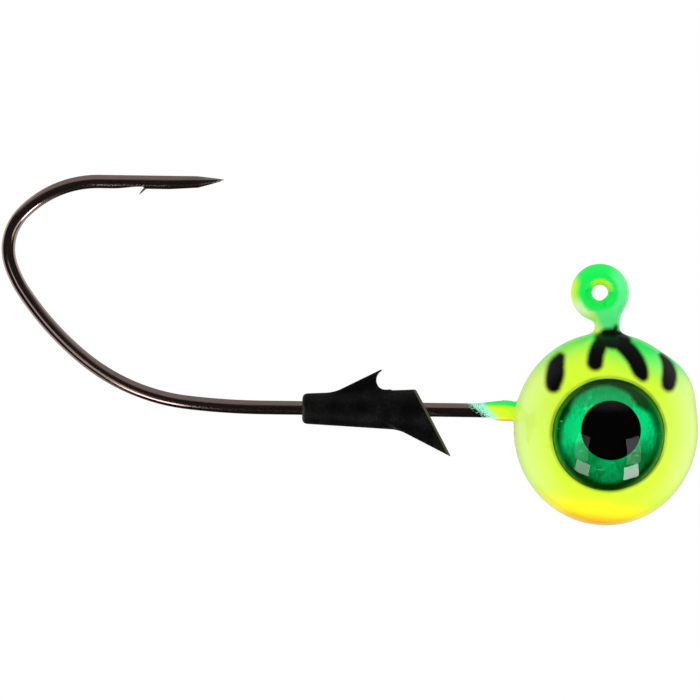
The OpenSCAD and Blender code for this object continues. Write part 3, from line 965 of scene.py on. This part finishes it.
def domed_eye(side, way, foil, ink, resin):
    """One stuck-on eye: foil, printed pupil and resin dome. way is -1 on the right side and 1 on the left."""
    middle = (eye_at[0], eye_at[2])
    iris = turned_piece("iris_foil_" + side, disc_profile(FOIL_R, foil_top - FOIL_THICK, foil_top, 40),
                        middle, way, foil, 160)
    dx, dz = np.array([(v.co.x / MM - middle[0], v.co.z / MM - middle[1]) for v in iris.data.vertices]).T
    out, turn = np.hypot(dx, dz) / lens_r, np.degrees(np.arctan2(dz, dx)) % 360
    angles = [row[0] for row in GLARE_ZONES]
    reach, bright, beyond = (np.interp(turn, angles, row, period=360) for row in list(zip(*GLARE_ZONES))[1:])
    past = ramp(out, reach - 0.05, reach + 0.07)
    point_values(iris, "radius", out)
    # Painted light at the rim: lighter towards the left and right, darker at top and bottom.
    point_values(iris, "rim", np.abs(np.cos(np.radians(turn))) ** 2)
    point_values(iris, "painted_sheen", bright * (1 - past) + beyond * past)
    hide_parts("eye_foil_" + side)
    print_profile = disc_profile(pupil_r, foil_top - INK_SINK, foil_top + INK_RISE, 12)
    pupil = turned_piece("pupil_print_" + side, print_profile, (pupil_at[0], pupil_at[2]), way, ink)
    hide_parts("eye_pupil_" + side)
    dome = turned_piece("resin_dome_" + side, dome_profile(), middle, way, resin, 128)
    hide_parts("eye_lens_" + side)


# ---- Camera, floor and light ----

VIEW_W = 50.12                          # width of the view at the middle of the object
FAR = 330.0                             # camera from the middle plane
ROLL = math.radians(0.8)
LOOK_AT = (-17.84, -4.35)               # x and z
FLOOR_Z = -170.0
FLOOR_R = 1500.0


def camera():
    """A long lens square to the object's side."""
    data = bpy.data.cameras.new("camera")
    data.lens = data.sensor_width / 2 / (VIEW_W / 2 / FAR)
    data.clip_start, data.clip_end = 0.01, 10
    made = bpy.data.objects.new("camera", data)
    right = Vector((math.cos(ROLL), 0, math.sin(ROLL)))
    up = Vector((-math.sin(ROLL), 0, math.cos(ROLL)))
    back = Vector((0, -1, 0))
    made.matrix_world = Matrix.Translation(Vector((LOOK_AT[0], -FAR, LOOK_AT[1])) * MM) @ Matrix(
        (right, up, back)).transposed().to_4x4()
    bpy.context.scene.collection.objects.link(made)
    bpy.context.scene.camera = made


def softbox(name, towards, distance, size, power, roll=0.0, fills=False):
    """A rectangular lamp in a direction from the jig's eye, facing it.

    It shows as a highlight, or it only fills the shade.
    """
    data = bpy.data.lights.new(name, "AREA")
    data.shape = "RECTANGLE"
    data.size, data.size_y = size[0] * MM, size[1] * MM
    data.energy = power
    made = bpy.data.objects.new(name, data)
    away = Vector(towards).normalized()
    made.location = (Vector((eye_at[0], 0, eye_at[2])) + away * distance) * MM
    made.rotation_mode = "QUATERNION"
    made.rotation_quaternion = away.to_track_quat("Z", "Y") @ Quaternion((0, 0, 1), math.radians(roll))
    made.visible_camera = False
    made.visible_diffuse, made.visible_glossy = fills, not fills
    bpy.context.scene.collection.objects.link(made)


def studio():
    """White all round to the eye; what the object mirrors is darker in front and bright behind."""
    world = bpy.data.worlds.new("studio")
    bpy.context.scene.world = world
    world.use_nodes = True
    tree = world.node_tree
    tree.nodes.clear()
    towards = add(tree, "ShaderNodeTexCoord")
    parts = add(tree, "ShaderNodeSeparateXYZ", links={"Vector": towards.outputs["Generated"]})
    aside = levels(tree, math_node(tree, "ABSOLUTE", parts.outputs["X"], 0.0), 0.25, 0.7)
    walls = math_node(tree, "MULTIPLY", aside, levels(tree, parts.outputs["Y"], 0.0, 0.35))
    roof = levels(tree, parts.outputs["Z"], 0.45, 0.8, 0.0, 0.34)
    low = levels(tree, math_node(tree, "ABSOLUTE", parts.outputs["Z"], 0.0), 0.3, 0.6, 0.5, 0.0)
    sheet = math_node(tree, "MULTIPLY", levels(tree, parts.outputs["Y"], 0.6, 0.9), low)
    mirrored = math_node(tree, "MAXIMUM", math_node(tree, "MAXIMUM", walls, sheet),
                         math_node(tree, "MAXIMUM", roof, 0.015))
    tent = levels(tree, parts.outputs["Z"], -1.0, 0.8, 0.92, 1.08)
    path = add(tree, "ShaderNodeLightPath")
    mirror = math_node(tree, "MULTIPLY", path.outputs["Is Glossy Ray"],
                       math_node(tree, "SUBTRACT", 1.0, path.outputs["Is Transmission Ray"]))
    strength = add(tree, "ShaderNodeMix", {"data_type": "FLOAT"},
                   links={0: mirror, 2: tent, 3: mirrored}).outputs[0]
    seen = add(tree, "ShaderNodeMix", {"data_type": "FLOAT"}, {3: 1.0},
               {0: path.outputs["Is Camera Ray"], 2: strength}).outputs[0]
    room = add(tree, "ShaderNodeBackground", inputs={"Color": (1, 1, 1, 1)}, links={"Strength": seen})
    add(tree, "ShaderNodeOutputWorld", links={"Surface": room.outputs[0]})
    bpy.context.scene.view_settings.view_transform = "Standard"


def floor(material):
    """A round of card far under the object."""
    bpy.ops.mesh.primitive_circle_add(vertices=128, radius=FLOOR_R * MM, fill_type="NGON",
                                      location=(0, 0, FLOOR_Z * MM))
    made = bpy.context.object
    made.name = "floor"
    made.visible_glossy = False
    made.data.materials.append(material)


camera()
studio()
floor(pale_card())
softbox("lamp_low_right", (0.513, -0.372, -0.774), 130, (44, 47), 0.056, roll=38.5)
softbox("lamp_low_left", (-0.514, -0.449, -0.73), 130, (43, 43), 0.023, roll=-39)
softbox("lamp_right", (0.607, -0.701, -0.374), 150, (56, 100), 0.023, roll=17)
softbox("lamp_fill", (0.05, -0.5, -0.85), 140, (150, 120), 0.07, fills=True)
softbox("lamp_left", (-0.596, -0.734, -0.325), 150, (53, 98), 0.012, roll=-17)

paint = spray_paint()
painted_head(paint)
socket_lip("socket_lip_right", -1, paint)
socket_lip("socket_lip_left", 1, paint)
bent_hook(black_nickel())
bait_keeper_piece(moulded_nylon())
foil, ink, resin = holographic_foil(), printed_black(), clear_resin()
domed_eye("right", -1, foil, ink, resin)
domed_eye("left", 1, foil, ink, resin)
lead_core(cast_lead())
tape = foam_tape()
for node in ("eye_pad_left", "eye_pad_right"):
    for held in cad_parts[node].material_slots:
        held.material = tape
